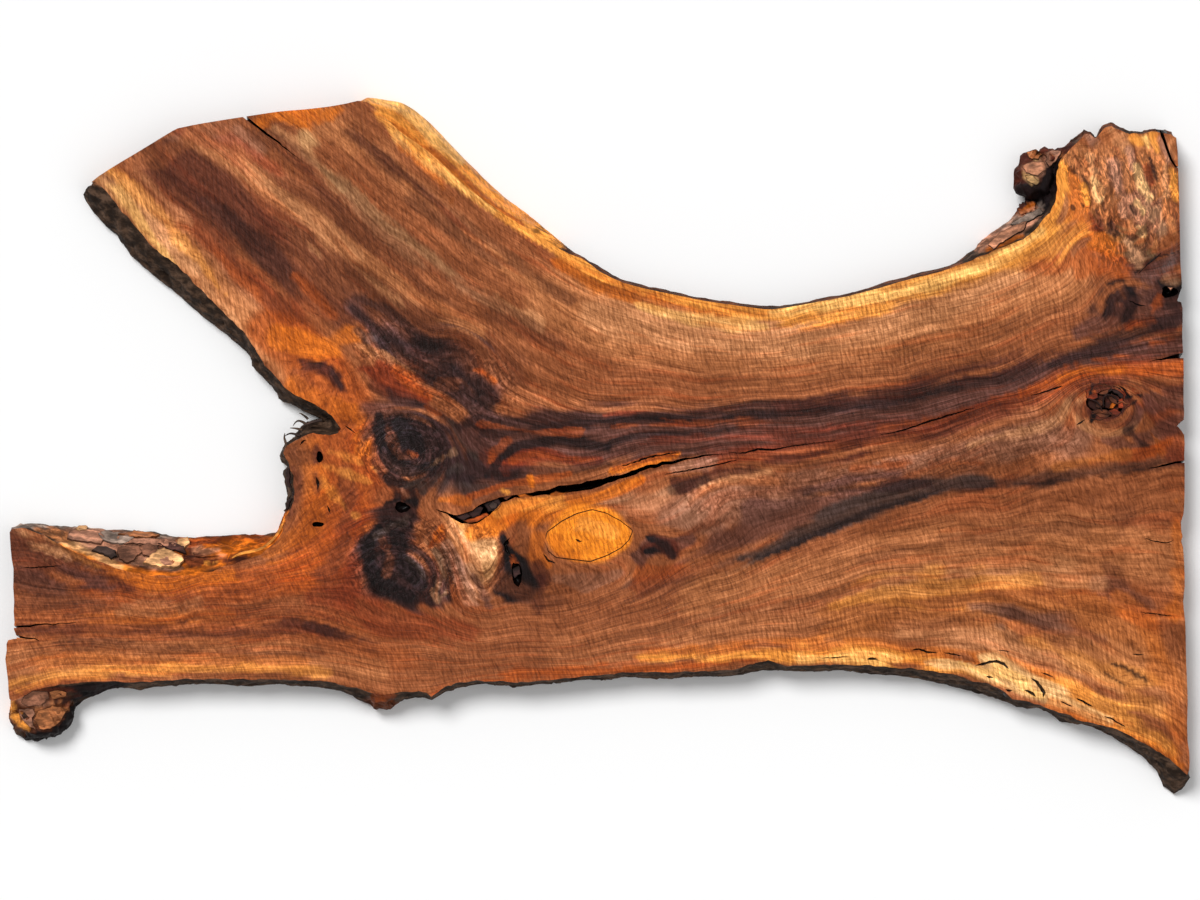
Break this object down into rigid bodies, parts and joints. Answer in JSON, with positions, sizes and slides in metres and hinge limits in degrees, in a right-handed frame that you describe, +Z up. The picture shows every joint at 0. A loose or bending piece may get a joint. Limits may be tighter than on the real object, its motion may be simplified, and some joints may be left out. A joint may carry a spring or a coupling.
{
  "type": "walnut wood slab",
  "caption": "Live-edge walnut slab sawn lengthwise through a forked trunk, with a broad limb, a narrow limb, a burl corner, bark-clad wane, a long heart crack and knots.",
  "frame": {"origin": "middle of the slab's box, on the plane of its lower sawn face", "axes": "+X from the limbs towards the trunk's sawn end, along the grain; +Z up, out of the upper sawn face; +Y towards the broad limb's side"},
  "size_m": [1.7148, 1.0188, 0.055],
  "materials": {
    "slab": "oiled, semi-gloss"
  },
  "bodies": {
    "root": {"slab": "slab"}
  },
  "joints": []
}
